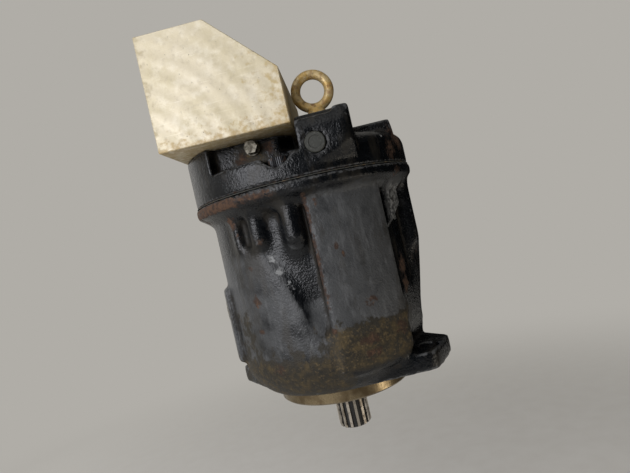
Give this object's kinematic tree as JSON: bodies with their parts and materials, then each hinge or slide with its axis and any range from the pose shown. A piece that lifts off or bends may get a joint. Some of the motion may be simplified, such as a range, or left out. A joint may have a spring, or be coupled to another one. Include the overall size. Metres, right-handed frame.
{
  "type": "axial piston pump",
  "caption": "Variable axial piston pump: round cast case with mounting flange and splined shaft, rear cover with lifting eye, chamfered port block and a tilting swashplate inside.",
  "frame": {"origin": "centre of the mounting flange's face, on the shaft axis", "axes": "+Z along the shaft axis towards the rear cover, so the splined end points to -Z; +X and +Y square with the port block, its outlet on the -X side"},
  "size_m": [0.2088, 0.2526, 0.372],
  "materials": {
    "black_cast": "cast iron under satin black paint, rubbed and rusted at the edges",
    "gasket": "pressed fibre gasket",
    "black_screw": "blackened steel screw",
    "grey_plug": "turned steel under thin paint",
    "zinc": "zinc plated steel",
    "eye_steel": "yellow passivated steel, worn and rusty",
    "yellow_block": "machined steel, pale yellow passivated",
    "rubber": "nitrile rubber",
    "bronze": "machined bronze",
    "ground_steel": "hardened and ground steel",
    "steel": "machined steel",
    "spring_steel": "spring steel wire, oil tempered",
    "cast_steel": "nodular iron with a ground running face",
    "shaft_steel": "case hardened steel, splines bare and stained"
  },
  "bodies": {
    "pump_body": {"pump_housing": "black_cast", "joint_gasket": "gasket", "port_plate": "black_cast", "joint_screws": "black_screw", "round_plug": "grey_plug", "gallery_plug": "zinc", "lifting_eye": "eye_steel", "port_block": "yellow_block", "block_screws": "black_screw", "block_o_ring": "rubber", "valve_plate": "bronze", "valve_plate_pin": "ground_steel", "cylinder_barrel": "steel", "retainer_ball": "bronze", "hold_down_pins": "ground_steel", "spring_washers": "steel", "barrel_spring": "spring_steel", "control_guide_rod": "ground_steel", "bias_guide_rod": "ground_steel", "bias_spring": "spring_steel", "front_bearing_cup": "ground_steel", "rear_bearing_cup": "ground_steel", "shaft_seal": "rubber", "retaining_ring": "spring_steel", "compensator_body": "black_cast", "compensator_screws": "black_screw", "compensator_spring": "spring_steel", "adjuster_screw": "zinc", "adjuster_nuts": "zinc", "compensator_plug": "zinc", "drain_plugs": "zinc"},
    "shaft": {"drive_shaft": "shaft_steel", "front_bearing_cone": "ground_steel", "rear_bearing_cone": "ground_steel"},
    "front_roller_set": {"front_bearing_rollers": "ground_steel"},
    "rear_roller_set": {"rear_bearing_rollers": "ground_steel"},
    "swash": {"swash_plate": "cast_steel"},
    "retainer": {"retainer_plate": "steel"},
    "saddles": {"saddle_bearings": "ground_steel"},
    "control_slide": {"control_piston": "steel"},
    "bias_slide": {"bias_piston": "steel"},
    "spool": {"compensator_spool": "ground_steel"},
    "piston_body_1": {"piston_1": "ground_steel"},
    "slipper_body_1": {"slipper_1": "bronze"},
    "piston_body_2": {"piston_2": "ground_steel"},
    "slipper_body_2": {"slipper_2": "bronze"},
    "piston_body_3": {"piston_3": "ground_steel"},
    "slipper_body_3": {"slipper_3": "bronze"},
    "piston_body_4": {"piston_4": "ground_steel"},
    "slipper_body_4": {"slipper_4": "bronze"},
    "piston_body_5": {"piston_5": "ground_steel"},
    "slipper_body_5": {"slipper_5": "bronze"},
    "piston_body_6": {"piston_6": "ground_steel"},
    "slipper_body_6": {"slipper_6": "bronze"},
    "piston_body_7": {"piston_7": "ground_steel"},
    "slipper_body_7": {"slipper_7": "bronze"},
    "piston_body_8": {"piston_8": "ground_steel"},
    "slipper_body_8": {"slipper_8": "bronze"},
    "piston_body_9": {"piston_9": "ground_steel"},
    "slipper_body_9": {"slipper_9": "bronze"}
  },
  "joints": [
    {"name": "shaft_spin", "type": "hinge", "parent": "pump_body", "child": "shaft", "pos_m": [0, 0, 0], "axis": [0, 0, 1], "continuous": true},
    {"name": "front_rollers_orbit", "type": "hinge", "parent": "pump_body", "child": "front_roller_set", "pos_m": [0, 0, 0.012], "axis": [0, 0, 1], "continuous": true},
    {"name": "rear_rollers_orbit", "type": "hinge", "parent": "pump_body", "child": "rear_roller_set", "pos_m": [0, 0, 0.188], "axis": [0, 0, 1], "continuous": true},
    {"name": "swash_tilt", "type": "hinge", "parent": "pump_body", "child": "swash", "pos_m": [0, 0, 0.077], "axis": [0.9367, 0.3502, 0], "range_deg": [0, 17], "stiffness_Nm_per_rad": 20, "springref_deg": -14.32, "deforming": ["bias_spring"]},
    {"name": "retainer_tilt", "type": "hinge", "parent": "pump_body", "child": "retainer", "pos_m": [0, 0, 0.077], "axis": [0.9367, 0.3502, 0], "range_deg": [0, 17]},
    {"name": "saddle_roll", "type": "hinge", "parent": "pump_body", "child": "saddles", "pos_m": [0, 0, 0.077], "axis": [0.9367, 0.3502, 0], "range_deg": [0, 8.5]},
    {"name": "control_stroke", "type": "slide", "parent": "pump_body", "child": "control_slide", "axis": [0, 0, 1], "range_m": [-0.0218, 0]},
    {"name": "bias_stroke", "type": "slide", "parent": "pump_body", "child": "bias_slide", "axis": [0, 0, 1], "range_m": [0, 0.0218]},
    {"name": "spool_shift", "type": "slide", "parent": "pump_body", "child": "spool", "axis": [0.9367, 0.3502, 0], "range_m": [0, 0.003], "stiffness_N_per_m": 8000, "springref_m": -0.002, "deforming": ["compensator_spring"]},
    {"name": "piston_stroke_1", "type": "slide", "parent": "pump_body", "child": "piston_body_1", "axis": [0, 0, 1], "range_m": [0, 0.00222]},
    {"name": "slipper_rock_1", "type": "hinge", "parent": "piston_body_1", "child": "slipper_body_1", "pos_m": [0.03447, 0.0203, 0.07488], "axis": [0.9367, 0.3502, 0], "range_deg": [0, 17]},
    {"name": "piston_stroke_2", "type": "slide", "parent": "pump_body", "child": "piston_body_2", "axis": [0, 0, 1], "range_m": [0, 0.00947]},
    {"name": "slipper_rock_2", "type": "hinge", "parent": "piston_body_2", "child": "slipper_body_2", "pos_m": [0.01335, 0.03771, 0.06763], "axis": [0.9367, 0.3502, 0], "range_deg": [0, 17]},
    {"name": "piston_stroke_3", "type": "slide", "parent": "pump_body", "child": "piston_body_3", "axis": [0, 0, 1], "range_m": [0, 0.01233]},
    {"name": "slipper_rock_3", "type": "hinge", "parent": "piston_body_3", "child": "slipper_body_3", "pos_m": [-0.01401, 0.03747, 0.06477], "axis": [0.9367, 0.3502, 0], "range_deg": [0, 17]},
    {"name": "piston_stroke_4", "type": "slide", "parent": "pump_body", "child": "piston_body_4", "axis": [0, 0, 1], "range_m": [0, 0.00947]},
    {"name": "slipper_rock_4", "type": "hinge", "parent": "piston_body_4", "child": "slipper_body_4", "pos_m": [-0.03481, 0.0197, 0.06763], "axis": [0.9367, 0.3502, 0], "range_deg": [0, 17]},
    {"name": "piston_stroke_5", "type": "slide", "parent": "pump_body", "child": "piston_body_5", "axis": [0, 0, 1], "range_m": [0, 0.00222]},
    {"name": "slipper_rock_5", "type": "hinge", "parent": "piston_body_5", "child": "slipper_body_5", "pos_m": [-0.03933, -0.00729, 0.07488], "axis": [0.9367, 0.3502, 0], "range_deg": [0, 17]},
    {"name": "piston_stroke_6", "type": "slide", "parent": "pump_body", "child": "piston_body_6", "axis": [0, 0, 1], "range_m": [-0.00622, 0]},
    {"name": "slipper_rock_6", "type": "hinge", "parent": "piston_body_6", "child": "slipper_body_6", "pos_m": [-0.02544, -0.03086, 0.08311], "axis": [0.9367, 0.3502, 0], "range_deg": [0, 17]},
    {"name": "piston_stroke_7", "type": "slide", "parent": "pump_body", "child": "piston_body_7", "axis": [0, 0, 1], "range_m": [-0.01159, 0]},
    {"name": "slipper_rock_7", "type": "hinge", "parent": "piston_body_7", "child": "slipper_body_7", "pos_m": [0.00035, -0.04, 0.08849], "axis": [0.9367, 0.3502, 0], "range_deg": [0, 17]},
    {"name": "piston_stroke_8", "type": "slide", "parent": "pump_body", "child": "piston_body_8", "axis": [0, 0, 1], "range_m": [-0.01159, 0]},
    {"name": "slipper_rock_8", "type": "hinge", "parent": "piston_body_8", "child": "slipper_body_8", "pos_m": [0.02598, -0.03042, 0.08849], "axis": [0.9367, 0.3502, 0], "range_deg": [0, 17]},
    {"name": "piston_stroke_9", "type": "slide", "parent": "pump_body", "child": "piston_body_9", "axis": [0, 0, 1], "range_m": [-0.00622, 0]},
    {"name": "slipper_rock_9", "type": "hinge", "parent": "piston_body_9", "child": "slipper_body_9", "pos_m": [0.03945, -0.0066, 0.08311], "axis": [0.9367, 0.3502, 0], "range_deg": [0, 17]}
  ],
  "couplings": [
    {"joint": "front_rollers_orbit", "follows": "shaft_spin", "ratio": 0.424},
    {"joint": "rear_rollers_orbit", "follows": "shaft_spin", "ratio": 0.418},
    {"joint": "retainer_tilt", "follows": "swash_tilt", "ratio": 1},
    {"joint": "saddle_roll", "follows": "swash_tilt", "ratio": 0.5},
    {"joint": "control_stroke", "follows": "swash_tilt", "m_per_rad": -0.07316},
    {"joint": "bias_stroke", "follows": "swash_tilt", "m_per_rad": 0.07316},
    {"joint": "piston_stroke_1", "follows": "swash_tilt", "m_per_rad": 0.0071572},
    {"joint": "slipper_rock_1", "follows": "swash_tilt", "ratio": 1},
    {"joint": "piston_stroke_2", "follows": "swash_tilt", "m_per_rad": 0.031574},
    {"joint": "slipper_rock_2", "follows": "swash_tilt", "ratio": 1},
    {"joint": "piston_stroke_3", "follows": "swash_tilt", "m_per_rad": 0.041217},
    {"joint": "slipper_rock_3", "follows": "swash_tilt", "ratio": 1},
    {"joint": "piston_stroke_4", "follows": "swash_tilt", "m_per_rad": 0.031574},
    {"joint": "slipper_rock_4", "follows": "swash_tilt", "ratio": 1},
    {"joint": "piston_stroke_5", "follows": "swash_tilt", "m_per_rad": 0.0071572},
    {"joint": "slipper_rock_5", "follows": "swash_tilt", "ratio": 1},
    {"joint": "piston_stroke_6", "follows": "swash_tilt", "m_per_rad": -0.020608},
    {"joint": "slipper_rock_6", "follows": "swash_tilt", "ratio": 1},
    {"joint": "piston_stroke_7", "follows": "swash_tilt", "m_per_rad": -0.038731},
    {"joint": "slipper_rock_7", "follows": "swash_tilt", "ratio": 1},
    {"joint": "piston_stroke_8", "follows": "swash_tilt", "m_per_rad": -0.038731},
    {"joint": "slipper_rock_8", "follows": "swash_tilt", "ratio": 1},
    {"joint": "piston_stroke_9", "follows": "swash_tilt", "m_per_rad": -0.020608},
    {"joint": "slipper_rock_9", "follows": "swash_tilt", "ratio": 1}
  ]
}
